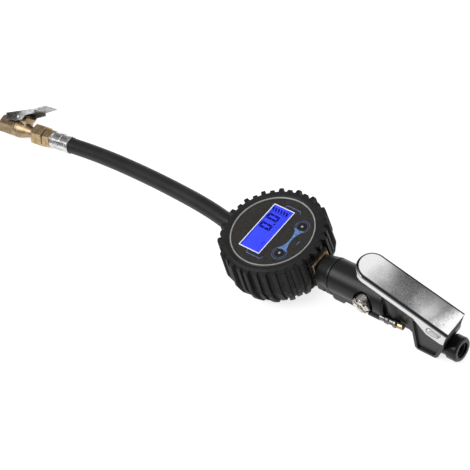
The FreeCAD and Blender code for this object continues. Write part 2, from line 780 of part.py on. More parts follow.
def bleed_button():
    z = axis_height - bleed_drop
    x2 = ledge_end + bleed_length + bleed_collar_length
    x3 = x2 + bleed_travel + 0.1
    stem = 1.05
    r = bleed_button_radius
    return turned_x([(x2 - 2.4, 0), (x2 - 2.4, stem), (x3, stem), (x3, r - 0.3), (x3 + 0.3, r),
                     (x3 + bleed_button_length - 0.4, r), (x3 + bleed_button_length, r - 0.4),
                     (x3 + bleed_button_length, 0)], bleed_y, z)


def inlet_bushing():
    x0 = inlet_x - inlet_ring_length - inlet_root
    x1 = inlet_x - inlet_ring_length
    r = inlet_neck_radius
    thread = r - 1.0
    wall_x = inlet_wall_x
    body = turned_x([(x0, 0), (x0, thread), (wall_x, thread), (wall_x, r), (x1, r),
                     (x1, inlet_ring_radius - 0.7), (x1 + 0.7, inlet_ring_radius),
                     (inlet_x - 1.2, inlet_ring_radius),
                     (inlet_x, inlet_ring_radius - 0.9), (inlet_x, 0)], 0, inlet_height)
    body = body.cut(heel_clear())
    body = body.cut(along_x(inlet_bore_radius, inlet_x - inlet_bore_depth, inlet_x + 1, 0, inlet_height))
    body = body.cut(along_x(filter_radius + 0.1, inlet_x - filter_pocket_depth, inlet_x, 0, inlet_height))
    return body.cut(along_x(passage_radius, x0 - 1, inlet_x, 0, inlet_height))


def heel_clear():
    """What the heel leaves no room for: the heel grown by the seat gap, outside its threaded hole."""
    grown = side_plate([(x + seat_gap, z) for x, z in heel_outline(0)], heel_half_width + 1)
    return grown.cut(along_x(inlet_neck_radius - 0.95, 100, inlet_x + 5, 0, inlet_height))


def inlet_filter():
    x0 = inlet_x - filter_pocket_depth + 0.05
    disc = along_x(filter_radius, x0, x0 + filter_length, 0, inlet_height)
    for k in range(6):
        a = math.radians(60 * k)
        y = 3.4 * math.cos(a)
        z = inlet_height + 3.4 * math.sin(a)
        disc = disc.cut(along_x(0.9, x0 - 1, x0 + filter_length + 1, y, z))
    return disc


# Hose
yaw = math.radians(chuck_yaw)
chuck_dir = Vec(-math.cos(yaw), -math.sin(yaw), 0)
chuck_base = Vec(*hose_route[-1])
route = [Vec(*p) for p in hose_route] + [chuck_base + chuck_dir * hose_tail]


def hose_path():
    """Straight runs joined by tangent arcs, each as large as its two runs allow."""
    edges = []
    here = route[0]
    radii = []
    for before, corner, after in zip(route, route[1:], route[2:]):
        into = (corner - before).normalize()
        out = (after - corner).normalize()
        turn = into.getAngle(out)
        reach = 0.45 * min((corner - before).Length, (after - corner).Length)
        radius = reach / math.tan(turn / 2)
        radii.append(radius)
        start = corner - into * reach
        end = corner + out * reach
        inward = (out - into).normalize()
        middle = corner + inward * (radius / math.cos(turn / 2) - radius)
        edges.append(Part.LineSegment(here, start).toShape())
        edges.append(Part.Arc(start, middle, end).toShape())
        here = end
    edges.append(Part.LineSegment(here, route[-1]).toShape())
    print("hose radii", [round(r) for r in radii])
    return Part.Wire(edges)


def hose():
    path = hose_path()
    outward = (route[1] - route[0]).normalize()
    rings = []
    for radius in (hose_radius, hose_bore):
        ring = Part.Wire(Part.makeCircle(radius, route[0], outward))
        rings.append(path.makePipeShell([ring], True, False))
    tube = rings[0].cut(rings[1])
    wanted = math.pi * (hose_radius ** 2 - hose_bore ** 2) * path.Length
    print("hose length", round(path.Length, 2), "volume over section times length",
          round(tube.Volume / wanted, 5))
    return tube


# Chuck, made along +X from the ferrule's hose end, with the lever side up
neck_start = ferrule_length + small_hex_length
nut_end = neck_start + big_hex_length
head_front = chuck_length
claw_x = chuck_pivot_along + chuck_lever_front - 2.4


def place_chuck(shape):
    """Stand a piece from the chuck's own frame in the tool's frame."""
    shape = shape.copy()
    shape.rotate(Vec(0, 0, 0), Vec(1, 0, 0), chuck_roll)
    shape.rotate(Vec(0, 0, 0), Vec(0, 0, 1), 180 + chuck_yaw)
    shape.translate(chuck_base)
    return shape


def hose_ferrule():
    r = ferrule_radius
    length = ferrule_length
    body = turned_x([(0, 0), (0, r - 0.5), (0.6, r), (2.6, r), (3.4, r - 0.45), (8.6, r - 0.45),
                     (9.4, r - 0.1), (11.2, r - 0.1), (12.0, r - 0.45), (17.0, r - 0.45),
                     (17.8, r), (length - 0.8, r),
                     (length, r - 0.8), (length, 0)], 0, 0)
    body = body.cut(along_x(hose_radius + slide_gap, -1, length - ferrule_end_wall, 0, 0))
    return body.cut(along_x(barb_radius + seat_gap, -1, length + 1, 0, 0))


def hose_nipple():
    hex_end = neck_start
    bar = hexagon(small_hex_flats, ferrule_length + 0.05, hex_end)
    pitch = (ferrule_length - 4.0) / 5
    profile = [(4.0, 0), (4.0, barb_radius - 0.6)]
    for k in range(5):
        x = 4.0 + k * pitch
        profile += [(x + pitch - 0.8, barb_radius), (x + pitch - 0.8, barb_radius - 0.4)]
    profile += [(hex_end, barb_radius - 0.4), (hex_end, 5.0), (hex_end + 6.0, 5.0), (hex_end + 6.0, 0)]
    return bar.fuse(turned_x(profile, 0, 0)).cut(along_x(1.5, 0, 60, 0, 0))


def swivel_nut():
    nut = hexagon(big_hex_flats, neck_start + 0.3, nut_end)
    nut = nut.cut(along_x(5.1, 0, neck_start + 6.4, 0, 0))
    return nut.cut(along_x(neck_radius + nut_bore_gap, 0, nut_end + 1, 0, 0))


def chuck_body():
    flats = head_flats
    r = neck_radius
    low = neck_start + 6.6
    bulge = flats / 2 + 0.5
    neck = [(low, 0), (low, 4.9 - 0.9), (nut_end + 0.4, r), (nut_end + 2.0, r)]
    waist_x = nut_end + 2.0
    belly_x = head_start - 3.0
    steps = 8
    for k in range(1, steps + 1):
        t = k / steps
        swell = 0.5 - 0.5 * math.cos(math.pi * t)
        neck.append((waist_x + (belly_x - waist_x) * t, r + (bulge - r) * swell))
    neck += [(head_start - 0.6, bulge - 0.2), (head_start + 1.0, flats / 2 - 0.4), (head_start + 1.0, 0)]
    body = turned_x(neck, 0, 0)
    body = body.fuse(hexagon(flats, head_start - 1.2, head_front))
    body = body.fuse(chuck_lugs())
    body = body.cut(along_x(mouth_radius, head_front - mouth_depth, head_front + 1, 0, 0))
    body = body.cut(along_x(seal_pocket_radius, head_front - seal_pocket_depth, head_front, 0, 0))
    body = body.cut(along_x(1.5, low - 1, head_front, 0, 0))
    claw_slot = box(claw_x - 1.8, claw_x + 1.8, -2.9, 2.9, 0, 12)
    body = body.cut(claw_slot)
    return body.cut(along_y(chuck_pin_radius + 0.05, -12, 12, chuck_pivot_along, chuck_pivot_height))


def chuck_lugs():
    """Block on the head's back that the lever's pin passes through."""
    x, z = chuck_pivot_along, chuck_pivot_height
    outline = [(x - 6.5, 2.0), (x - 6.5, z + 0.6), (x - 4.6, z + 2.6), (x + 1.0, z + 2.4),
               (x + 3.2, z - 1.0), (x + 5.0, 2.0)]
    return side_plate(outline, head_flats / 2 - 2.2)


def chuck_lever_flat():
    """The lever flat in its own frame: u back from the pin along X, n up from the pin."""
    sheet = chuck_lever_sheet
    half = head_flats / 2 + chuck_lever_gap + sheet
    top = chuck_lever_top
    tail = chuck_lever_rear
    nose = chuck_lever_front
    side = [(-nose, top - 5.6), (-nose, top), (tail - chuck_tab_length, top),
            (tail - chuck_tab_length, top - 3.4), (6.5, top - 4.2), (3.2, -2.9), (-3.2, -2.9),
            (-6.0, top - 6.6)]
    outer = side_plate(side, half)
    under = top - sheet
    inner = side_plate([(-nose - 1, top - 9), (-nose - 1, under), (tail, under), (tail, top - 9)],
                       half - sheet)
    pan = outer.cut(inner)
    drop = 1.4
    tail_x = tail - chuck_tab_length
    tab = side_plate([(tail_x - 1.5, top), (tail_x + 1.2, top + drop * 0.2), (tail, top + drop),
                      (tail + 0.6, top + drop - 0.7), (tail, top + drop - sheet * 1.1),
                      (tail_x + 1.2, top - sheet), (tail_x - 1.5, top - sheet)], half - 0.6)
    lip = side_plate([(-nose, top - sheet), (-nose - 1.0, top + 1.2), (-nose - 0.2, top + 1.4),
                      (-nose + 1.2, top), (-nose + 1.2, top - sheet)], 2.4)
    pan = pan.multiFuse([tab, lip])
    return pan.cut(along_y(chuck_pin_radius + 0.1, -15, 15, 0, 0))


def stand_chuck_lever(shape):
    """Lay the flat lever over the head: it rises towards the hose."""
    shape = shape.copy()
    shape.rotate(Vec(0, 0, 0), Vec(0, 0, 1), 180)
    shape.rotate(Vec(0, 0, 0), Vec(0, 1, 0), chuck_lever_slope)
    shape.translate(Vec(chuck_pivot_along, 0, chuck_pivot_height))
    return shape


def chuck_claw():
    """Hooked tongue that grips the valve's thread through the slot in the head."""
    a = math.radians(chuck_lever_slope)
    roof_z = chuck_pivot_height - (claw_x - chuck_pivot_along) * math.tan(a)
    roof_z += (chuck_lever_top - chuck_lever_sheet) / math.cos(a)
    tip_z = mouth_radius + 0.15
    return side_plate([(claw_x - 0.7, tip_z), (claw_x + 0.4, tip_z), (claw_x + 0.9, roof_z),
                       (claw_x - 0.9, roof_z + 0.5)], 2.4)


def chuck_lever():
    return stand_chuck_lever(chuck_lever_flat()).fuse(chuck_claw())


def chuck_lever_pin():
    reach = head_flats / 2 + chuck_lever_gap + chuck_lever_sheet + 0.5
    pin = along_y(chuck_pin_radius, -reach, reach, chuck_pivot_along, chuck_pivot_height)
    rims = [e for e in pin.Edges if len(e.Vertexes) == 1]
    return pin.makeFillet(0.4, rims)


def chuck_spring():
    """Two closed coils on the pin, one each side of the block."""
    inner = chuck_pin_radius + 0.1
    coils = []
    y0 = head_flats / 2 - 2.2 + 0.1
    y1 = head_flats / 2 + chuck_lever_gap - 0.2
    for side in (-1, 1):
        low = min(side * y0, side * y1)
        coil = along_y(inner + spring_wire, low, low + y1 - y0, chuck_pivot_along, chuck_pivot_height)
        coils.append(coil.cut(along_y(inner, low - 1, low + y1, chuck_pivot_along, chuck_pivot_height)))
    return Part.makeCompound(coils)


def chuck_seal():
    x0 = head_front - seal_pocket_depth + 0.02
    ring = along_x(seal_pocket_radius - 0.1, x0, x0 + 3.0, 0, 0)
    return ring.cut(along_x(1.9, x0 - 1, x0 + 4, 0, 0))


def chuck_depressor():
    x0 = head_front - seal_pocket_depth + 0.02
    foot = along_x(1.45, x0 - 3.0, x0 + 1.0, 0, 0)
    return foot.fuse(along_x(0.8, x0, x0 + 4.6, 0, 0))


save("rubber_boot", rubber_boot())
save("gauge_case", gauge_case())
save("battery_door", battery_door())
save("battery_door_screw", battery_door_screw())
save("batteries", batteries())
save("circuit_board", circuit_board())
save("board_screws", board_screws())
save("pressure_sensor", pressure_sensor())
save("manifold_block", manifold_block())
save("hose_barb", hose_barb())
save("lcd_module", lcd_module())
save("lcd_window", lcd_window())
save("face_panel", face_panel())
save("bezel_ring", bezel_ring())
save("power_button", face_button(1))
save("unit_button", face_button(-1))
save("front_collar", front_collar())
save("handle_body", handle_body())
save("trigger_lever", stand_lever(lever_flat()))
save("lever_pivot_pin", lever_pivot_pin())
save("valve_stem", valve_stem())
save("valve_spring", valve_spring())
save("valve_seat", valve_seat())
save("gland_nut", gland_nut())
save("gland_pin", gland_pin())
save("bleed_valve_body", bleed_valve_body())
save("bleed_button", bleed_button())
save("inlet_bushing", inlet_bushing())
save("inlet_filter", inlet_filter())
save("hose", hose())
save("hose_ferrule", place_chuck(hose_ferrule()))
save("hose_nipple", place_chuck(hose_nipple()))
save("swivel_nut", place_chuck(swivel_nut()))
save("chuck_body", place_chuck(chuck_body()))
save("chuck_lever", place_chuck(chuck_lever()))
save("chuck_lever_pin", place_chuck(chuck_lever_pin()))
save("chuck_spring", place_chuck(chuck_spring()))
save("chuck_seal", place_chuck(chuck_seal()))
save("chuck_depressor", place_chuck(chuck_depressor()))

print("stem stroke", round(stem_stroke, 3))
print("spring base", round(chamber_z + seat_height + 0.05, 3))
for name, point in (("chuck pin", (chuck_pivot_along, 0, chuck_pivot_height)),
                    ("chuck pin side", (chuck_pivot_along, 1, chuck_pivot_height)),
                    ("mouth middle", (head_front - mouth_depth / 2, 0, 0))):
    placed = place_chuck(Part.Vertex(*point)).Point
    print(name, [round(c, 4) for c in placed])
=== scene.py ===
import math

import bmesh
import bpy
from mathutils import Matrix, Vector


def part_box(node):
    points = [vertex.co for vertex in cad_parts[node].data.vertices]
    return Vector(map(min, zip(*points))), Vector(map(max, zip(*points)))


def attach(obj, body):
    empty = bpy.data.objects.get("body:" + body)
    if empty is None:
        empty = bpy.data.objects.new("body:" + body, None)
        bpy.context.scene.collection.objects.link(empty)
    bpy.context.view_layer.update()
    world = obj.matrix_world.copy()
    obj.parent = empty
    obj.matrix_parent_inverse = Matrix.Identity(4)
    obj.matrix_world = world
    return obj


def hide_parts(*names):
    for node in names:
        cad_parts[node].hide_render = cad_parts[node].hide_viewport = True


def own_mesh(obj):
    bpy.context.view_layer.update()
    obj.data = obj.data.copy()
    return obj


# Tyre inflator: gauge in a ribbed boot, handle with a chromed lever, hose with a clip-on chuck.
# Metres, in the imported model's frame: +Z out of the display, +X to the air inlet.

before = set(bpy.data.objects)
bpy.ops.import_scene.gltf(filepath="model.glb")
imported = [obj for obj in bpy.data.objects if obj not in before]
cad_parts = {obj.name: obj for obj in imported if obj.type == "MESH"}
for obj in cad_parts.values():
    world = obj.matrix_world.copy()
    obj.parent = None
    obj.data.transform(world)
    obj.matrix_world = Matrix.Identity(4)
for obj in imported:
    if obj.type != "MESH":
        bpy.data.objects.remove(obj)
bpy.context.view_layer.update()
print("frame loaded:", len(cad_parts), "nodes")

# Camera
camera = {
    "azimuth": 55.722149,       # degrees
    "elevation": 47.513362,
    "roll": -21.353110,
    "distance": 1.10362674,
    "alongRight": -0.031417753,
    "alongUp": 0.010301245,
    "aimHeight": 0.020,
    "focal": 1553.91507,        # in pixels of the photo
    "framePixels": 470,
    "sensor": 36.0,             # millimetres
    "farthest": 20,
}


def makeCamera(c):
    a, e, r = (math.radians(c[k]) for k in ("azimuth", "elevation", "roll"))
    back = Vector((math.sin(a) * math.cos(e), -math.cos(a) * math.cos(e), math.sin(e)))
    level = Vector((math.cos(a), math.sin(a), 0))
    upright = back.cross(level)
    right = math.cos(r) * level + math.sin(r) * upright
    up = -math.sin(r) * level + math.cos(r) * upright
    place = back * c["distance"] + right * c["alongRight"] + up * c["alongUp"]
    place.z += c["aimHeight"]
    data = bpy.data.cameras.new("photoCamera")
    data.sensor_width = c["sensor"]
    data.lens = c["focal"] / c["framePixels"] * c["sensor"]
    data.clip_end = c["farthest"]
    piece = bpy.data.objects.new("photoCamera", data)
    turn = Matrix((right, up, back)).transposed().to_4x4()
    piece.matrix_world = Matrix.Translation(place) @ turn
    bpy.context.scene.collection.objects.link(piece)
    bpy.context.scene.camera = piece


makeCamera(camera)

# Hose: the route's points as in the part's source, in metres
chuckYaw = 6.53                 # degrees between the x axis and the line of the chuck
hose = {
    "radius": 0.00625,
    "exit": (-0.0345, 0.0, 0.024),
    "length": 0.2029,
    "tail": 0.0168,             # inside the ferrule
    "route": [
        (-0.0345, 0.0, 0.0240),
        (-0.0470, 0.0, 0.0240),
        (-0.0625, 0.0025, 0.0239),
        (-0.0800, 0.0042, 0.0237),
        (-0.0990, 0.0053, 0.0233),
        (-0.1202, 0.0063, 0.0226),
        (-0.1416, 0.0069, 0.0216),
        (-0.1634, 0.0072, 0.0204),
        (-0.1854, 0.00695, 0.0190),
        (-0.2040, 0.0062, 0.0177),
        (-0.2200, 0.0049, 0.0168),
    ],
}


def link(piece, body="tool"):
    bpy.context.scene.collection.objects.link(piece)
    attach(piece, body)
    return piece


def makeHose(h):
    yaw = math.radians(chuckYaw)
    end = Vector(h["route"][-1]) + Vector((-math.cos(yaw), -math.sin(yaw), 0)) * h["tail"]
    points = [Vector(p) for p in h["route"]] + [end]
    curve = bpy.data.curves.new("rubberHose", "CURVE")
    curve.dimensions = "3D"
    spline = curve.splines.new("NURBS")
    spline.points.add(len(points) - 1)
    # the points carry the radius, because the curve's box grows by theirs and not by the bevel's
    for point, place in zip(spline.points, points):
        point.co = (*place, 1)
        point.radius = h["radius"]
    spline.order_u = 3
    spline.use_endpoint_u = True
    spline.resolution_u = 16
    curve.bevel_depth = 1.0
    curve.bevel_resolution = 12
    curve.use_fill_caps = True
    piece = link(bpy.data.objects.new("rubberHose", curve))
    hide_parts("hose")


makeHose(hose)
print("camera and hose made")


# Mesh helpers
def meshPiece(name, build, body="tool", smooth=None):
    bm = bmesh.new()
    build(bm)
    bmesh.ops.recalc_face_normals(bm, faces=bm.faces)
    data = bpy.data.meshes.new(name)
    bm.to_mesh(data)
    bm.free()
    if smooth:
        data.shade_smooth()
        data.set_sharp_from_angle(angle=math.radians(smooth))
    link(bpy.data.objects.new(name, data), body)


def rectangle(x0, y0, x1, y1):
    return [(x0, y0), (x0, y1), (x1, y1), (x1, y0)]


def circle(cx, cy, radius, steps=48):
    turns = [2 * math.pi * k / steps for k in range(steps)]
    return [(cx + radius * math.cos(a), cy + radius * math.sin(a)) for a in turns]


def addPrism(bm, outline, z0, z1):
    low = [bm.verts.new((x, y, z0)) for x, y in outline]
    high = [bm.verts.new((x, y, z1)) for x, y in outline]
    bm.faces.new(low[::-1])
    bm.faces.new(high)
    for i in range(len(outline)):
        j = (i + 1) % len(outline)
        bm.faces.new((low[i], low[j], high[j], high[i]))


def addBand(bm, outer, inner, z0, z1, closed=True):
    n = len(outer)
    rings = [[bm.verts.new((x, y, z)) for x, y in line] for line, z in
             ((outer, z0), (outer, z1), (inner, z1), (inner, z0))]
    last = n if closed else n - 1
    for i in range(last):
        j = (i + 1) % n
        for a, b in zip(rings, rings[1:] + rings[:1]):
            bm.faces.new((a[i], a[j], b[j], b[i]))
    if not closed:
        bm.faces.new([r[0] for r in rings])
        bm.faces.new([r[-1] for r in rings][::-1])


# Display: x runs down the reading and y to its right
display = {
    "x": -0.0055,
    "y": 0.0002,
    "halfX": 0.00930,
    "halfY": 0.02085,
    "border": 0.00054,
    "panelTop": 0.0405,
    "frameSink": 0.0004,            # of the frame into the panel
    "frameLift": 0.00006,
    "inkLow": 0.03886,
    "inkHigh": 0.038885,
    "digitTop": -0.0140,
    "digitHeight": 0.0105,
    "digitWidth": 0.0053,
    "stroke": 0.00185,
    "narrowing": 0.9,               # of a side stroke at the digit's middle
    "gap": 0.00022,                 # half the gap between strokes
    "slant": 0.05,
    "digits": (-0.0006, 0.0080),    # left edges, along y
    "dot": (-0.0040, 0.0063, 0.0014),
    "barFirst": -0.0137,
    "barPitch": 0.00245,
    "bars": 6,
    "barStart": 0.0160,
    "barLength": 0.0032,
    "barWidth": 0.0015,
    "barLean": 0.0013,
    "rule": 0.00035,                # thickness of the two thin lines beside the bars
    "ruleX": (-0.0143, -0.0004),
    "ruleY": (0.0151, 0.0197),
    "dashSize": (0.0008, 0.0010),
    "dashes": ((-0.0010, -0.0123), (-0.0004, -0.0106)),
}


def digitZero(bm, left, d):
    # six strokes round a lying rectangle, mitred where they meet
    top, bottom = d["digitTop"], d["digitTop"] + d["digitHeight"]
    right = left + d["digitWidth"]
    middle = (top + bottom) / 2
    w, gap = d["stroke"], d["gap"]
    narrow = w * d["narrowing"]

    def stroke(*corners):
        leaning = [(x, y + (bottom - x) * d["slant"]) for x, y in corners]
        addPrism(bm, leaning, d["inkLow"], d["inkHigh"])

    for x, inner in ((top, top + w), (bottom, bottom - w)):
        stroke((x, left + gap), (x, right - gap), (inner, right - w - gap), (inner, left + w + gap))
    for y, side in ((left, 1), (right, -1)):
        inner, waist = y + side * w, y + side * narrow
        stroke((top + gap, y), (middle - gap, y), (middle - gap, waist), (top + w + gap, inner))
        stroke((middle + gap, y), (bottom - gap, y), (bottom - w - gap, inner), (middle + gap, waist))


def displayInk(bm):
    d = display
    z0, z1 = d["inkLow"], d["inkHigh"]
    for left in d["digits"]:
        digitZero(bm, left, d)
    x, y, side = d["dot"]
    r = side / 2
    addPrism(bm, rectangle(x - r, y - r, x + r, y + r), z0, z1)
    w, tilt = d["barWidth"] / 2, d["barLean"] / 2
    y0, y1 = d["barStart"], d["barStart"] + d["barLength"]
    for k in range(d["bars"]):
        x = d["barFirst"] + d["barPitch"] * k
        leaning = [(x + tilt - w, y0), (x - tilt - w, y1), (x - tilt + w, y1), (x + tilt + w, y0)]
        addPrism(bm, leaning, z0, z1)
    (x0, x1), (y0, y1) = d["ruleX"], d["ruleY"]
    addPrism(bm, rectangle(x0, y0, x1, y0 + d["rule"]), z0, z1)
    addPrism(bm, rectangle(x1, y0, x1 + d["rule"], y1), z0, z1)
    wide, long = d["dashSize"]
    for x, y in d["dashes"]:
        addPrism(bm, rectangle(x - wide / 2, y, x + wide / 2, y + long), z0, z1)


def displayFrame(bm):
    d = display
    z = d["panelTop"]

    def outline(inset):
        x, y = d["halfX"] - inset, d["halfY"] - inset
        return rectangle(d["x"] - x, d["y"] - y, d["x"] + x, d["y"] + y)

    addBand(bm, outline(0), outline(d["border"]), z - d["frameSink"], z + d["frameLift"])


meshPiece("lcdInk", displayInk)
meshPiece("lcdFrame", displayFrame)

# Printing on the face: key rings, the waisted band between them, brackets and a dash
face = {
    "keyX": 0.0166,
    "keyY": 0.0131,
    "rings": ((0.0040, 0.00028), (0.0054, 0.00036)),    # radius and line
    "top": 0.0405,
    "sink": 0.0001,
    "lift": 0.00005,
    "bandLift": 0.00004,            # lower than the rings that it meets
    "bandSteps": 24,
    "bandOverlap": 0.55,            # reach into the outer ring, in radii from its edge
    "waist": 0.0007,
    "flare": 0.0043,
    "flarePower": 2.4,
    "bracketLine": 0.00045,
    "bracketY": 0.0239,
    "bracketArmY": 0.0215,
    "bracketX": (-0.0060, -0.0053, 0.0071, 0.0085),
    "dash": (0.0231, 0.0033, 0.0008),
    "keyTop": 0.0408,
    "dotRadius": 0.0011,
    "dotRings": ((1.0, -0.00002), (0.8, 0.00005), (0.4, 0.00009)),      # share of the radius, height
    "dotSides": 24,
}


def keyRings(bm):
    f = face
    for side in (-1, 1):
        for radius, line in f["rings"]:
            outer = circle(f["keyX"], side * f["keyY"], radius + line / 2)
            inner = circle(f["keyX"], side * f["keyY"], radius - line / 2)
            addBand(bm, outer, inner, f["top"] - f["sink"], f["top"] + f["lift"])


def waistedBand(bm):
    f = face
    edge = f["rings"][1][0]
    reach = f["keyY"] - edge * f["bandOverlap"]
    left, right = [], []
    for k in range(f["bandSteps"] + 1):
        t = -1 + 2 * k / f["bandSteps"]
        half = f["waist"] + (f["flare"] - f["waist"]) * abs(t) ** f["flarePower"]
        y = t * reach
        key = Vector((f["keyX"], math.copysign(f["keyY"], y)))
        for sign, line in ((-1, left), (1, right)):
            p = Vector((f["keyX"] + sign * half, y))
            away = p - key
            if away.length < edge:
                p = key + away.normalized() * edge
            line.append((p.x, p.y))
    addBand(bm, left, right, f["top"] - f["sink"], f["top"] + f["bandLift"], closed=False)


def brackets(bm):
    f = face
    w = f["bracketLine"]
    a, b, c, e = f["bracketX"]
    for side in (-1, 1):
        far, arm = side * f["bracketY"], side * f["bracketArmY"]
        line = [(a, arm), (b, far), (c, far), (e, arm)]
        inner = [(a + w, arm), (b + w * 0.5, far - side * w), (c - w * 0.5, far - side * w), (e - w, arm)]
        addBand(bm, line, inner, f["top"] - f["sink"], f["top"] + f["lift"], closed=False)


def smallDash(bm):
    f = face
    x, length, width = f["dash"]
    outline = rectangle(x - width / 2, -length / 2, x + width / 2, length / 2)
    addPrism(bm, outline, f["top"] - f["sink"], f["top"] + f["lift"])


def keyDot(side):
    # a plain raised dot in the middle of a key
    f = face
    sides = f["dotSides"]

    def build(bm):
        rings = []
        for share, z in f["dotRings"]:
            line = circle(f["keyX"], side * f["keyY"], f["dotRadius"] * share, sides)
            rings.append([bm.verts.new((x, y, f["keyTop"] + z)) for x, y in line])
        for low, high in zip(rings, rings[1:]):
            for k in range(sides):
                bm.faces.new((low[k], low[k - 1], high[k - 1], high[k]))
        bm.faces.new(rings[0])
        bm.faces.new(rings[-1])
    return build


meshPiece("faceRings", keyRings)
meshPiece("faceBand", waistedBand)
meshPiece("faceBrackets", brackets)
meshPiece("faceDash", smallDash)
meshPiece("powerDot", keyDot(1), body="power_button", smooth=60)
meshPiece("unitDot", keyDot(-1), body="unit_button", smooth=60)
print("display and printing made")

# Internal thread of the air inlet
inlet = {
    "mouth": 0.1547,
    "height": 0.004,
    "bore": 0.00572,
    "pitch": 0.00141,
    "turns": 6,
    "steps": 48,                # in a turn
    "firstTurn": 0.0012,        # in from the mouth
    "fadeSteps": 12,            # over which the ridge grows and ends
    "root": 0.00004,            # into the wall
    "depth": 0.0007,
    "rootHalf": 0.45,           # in pitches
    "crestHalf": 0.08,
}


def inletRidges(bm):
    i = inlet
    root, crest = i["rootHalf"], i["crestHalf"]
    rows = []
    count = i["turns"] * i["steps"]
    for k in range(count + 1):
        a = 2 * math.pi * k / i["steps"]
        x = i["mouth"] - i["firstTurn"] - i["pitch"] * k / i["steps"]
        inward = -i["depth"] * min(1, k / i["fadeSteps"], (count - k) / i["fadeSteps"])
        row = []
        for along, out in ((-root, i["root"]), (-crest, inward), (crest, inward), (root, i["root"])):
            y = (i["bore"] + out) * math.cos(a)
            z = (i["bore"] + out) * math.sin(a) + i["height"]
            row.append(bm.verts.new((x + along * i["pitch"], y, z)))
        rows.append(row)
    for a, b in zip(rows, rows[1:]):
        for p in range(len(a)):
            q = (p + 1) % len(a)
            bm.faces.new((a[p], a[q], b[q], b[p]))
    bm.faces.new(rows[0])
    bm.faces.new(rows[-1][::-1])


meshPiece("inletThread", inletRidges, smooth=40)


def makeSpring():
    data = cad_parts["valve_spring"].data.copy()
    piece = link(bpy.data.objects.new("pressedSpring", data))
    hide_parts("valve_spring")
    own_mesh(piece)


makeSpring()
print("thread and spring made")


# Node helpers
def addNode(tree, kind, values=None, **settings):
    node = tree.nodes.new("ShaderNode" + kind)
    for name, value in settings.items():
        setattr(node, name, value)
    for name, value in (values or {}).items():
        if isinstance(value, bpy.types.NodeSocket):
            tree.links.new(value, node.inputs[name])
        else:
            node.inputs[name].default_value = value
    return node


def calc(tree, operation, *values, clamp=False):
    return addNode(tree, "Math", dict(enumerate(values)), operation=operation, use_clamp=clamp).outputs[0]


def product(tree, value, *others):
    for other in others:
        value = calc(tree, "MULTIPLY", value, other)
    return value


def total(tree, value, *others):
    for other in others:
        value = calc(tree, "ADD", value, other)
    return value


def oneMinus(tree, value):
    return calc(tree, "SUBTRACT", 1.0, value)


def hypotenuse(tree, a, b):
    return calc(tree, "SQRT", total(tree, product(tree, a, a), product(tree, b, b)))


def spread(tree, value, low, high, start=0.0, end=1.0, shape="SMOOTHSTEP"):
    span = {"Value": value, "From Min": low, "From Max": high, "To Min": start, "To Max": end}
    return addNode(tree, "MapRange", span, interpolation_type=shape).outputs[0]


def blendColour(tree, factor, a, b):
    node = addNode(tree, "Mix", {"Factor": factor}, data_type="RGBA")
    for socket, value in (("A", a), ("B", b)):
        if isinstance(value, bpy.types.NodeSocket):
            tree.links.new(value, node.inputs[socket])
        else:
            node.inputs[socket].default_value = (*value, 1)
    return node.outputs["Result"]


# Node groups that the finishes share
def newGroup(name, inputs, outputs):
    tree = bpy.data.node_groups.new(name, "ShaderNodeTree")
    for label, (kind, value) in inputs.items():
        socket = tree.interface.new_socket(label, in_out="INPUT", socket_type="NodeSocket" + kind)
        socket.default_value = value
    for label, kind in outputs.items():
        tree.interface.new_socket(label, in_out="OUTPUT", socket_type="NodeSocket" + kind)
    return tree, tree.nodes.new("NodeGroupInput").outputs, tree.nodes.new("NodeGroupOutput").inputs


def makeGrain():
    # fine grain for bumps, and a soft cloud for tone
    tree, given, out = newGroup("surfaceGrain", {"Scale": ("Float", 900), "Cloud Scale": ("Float", 60)},
                                {"Height": "Float", "Cloud": "Float"})
    place = addNode(tree, "TexCoord").outputs["Object"]
    fine = addNode(tree, "TexNoise", {"Vector": place, "Scale": given["Scale"], "Detail": 3.0})
    cloud = addNode(tree, "TexNoise", {"Vector": place, "Scale": given["Cloud Scale"], "Detail": 4.0})
    tree.links.new(fine.outputs["Fac"], out["Height"])
    tree.links.new(spread(tree, cloud.outputs["Fac"], 0.34, 0.66), out["Cloud"])
    return tree


def makeEdges():
    # where the surface turns sharply: 0 on flats, 1 on edges, broken up by wear noise; it marks edge wear
    # and painted edge highlights
    tree, given, out = newGroup("edgeWearAndSheen", {"Radius": ("Float", 0.0006), "Wear Scale": ("Float", 500)},
                                {"Edge": "Float", "Normal": "Vector"})
    soft = addNode(tree, "Bevel", {"Radius": given["Radius"]}, samples=6)
    flat = addNode(tree, "NewGeometry")
    along = addNode(tree, "VectorMath", {0: soft.outputs["Normal"], 1: flat.outputs["True Normal"]},
                    operation="DOT_PRODUCT")
    turn = spread(tree, along.outputs["Value"], 0.98, 0.80)
    place = addNode(tree, "TexCoord").outputs["Object"]
    noise = addNode(tree, "TexNoise", {"Vector": place, "Scale": given["Wear Scale"], "Detail": 2.0})
    worn = spread(tree, noise.outputs["Fac"], 0.25, 0.6)
    tree.links.new(product(tree, turn, worn), out["Edge"])
    tree.links.new(soft.outputs["Normal"], out["Normal"])
    return tree


def makeStreaks():
    # tool marks: noise drawn out by a different amount along each axis
    tree, given, out = newGroup("toolStreaks", {"Stretch": ("Vector", (4000, 60, 60)),
                                                "Turn": ("Vector", (0, 0, 0))}, {"Streak": "Float"})
    place = addNode(tree, "TexCoord").outputs["Object"]
    turned = addNode(tree, "Mapping", {"Vector": place, "Rotation": given["Turn"]}, vector_type="TEXTURE")
    drawn = addNode(tree, "VectorMath", {0: turned.outputs["Vector"], 1: given["Stretch"]},
                    operation="MULTIPLY")
    noise = addNode(tree, "TexNoise", {"Vector": drawn.outputs["Vector"], "Scale": 1.0, "Detail": 3.0})
    tree.links.new(noise.outputs["Fac"], out["Streak"])
    return tree


